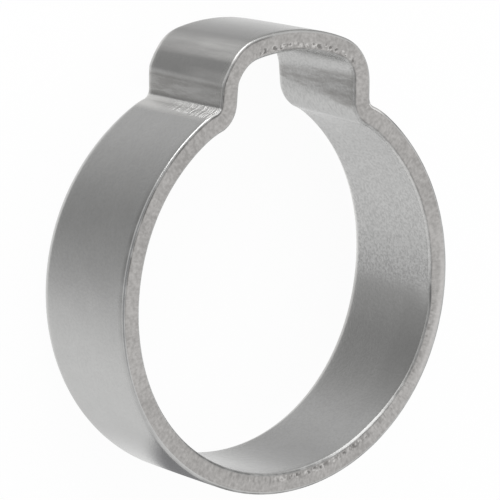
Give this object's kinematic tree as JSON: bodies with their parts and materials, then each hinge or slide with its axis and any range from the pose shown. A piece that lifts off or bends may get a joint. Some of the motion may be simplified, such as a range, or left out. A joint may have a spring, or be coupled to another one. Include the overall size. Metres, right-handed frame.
{
  "type": "one-ear hose clamp",
  "caption": "Closed ring of steel strip with one raised hollow ear, pinched with pincers to tighten the ring on a hose.",
  "frame": {"origin": "on the bore's axis, at half the width of the band", "axes": "+Z along the bore, normal to the upper rim; +Y from the bore's axis to the middle of the ear"},
  "size_m": [0.0228, 0.0259, 0.007],
  "materials": {
    "stainless_strip": "tumbled bright stainless steel, with matt sheared edges"
  },
  "bodies": {
    "root": {"clamp_band": "stainless_strip"}
  },
  "joints": []
}
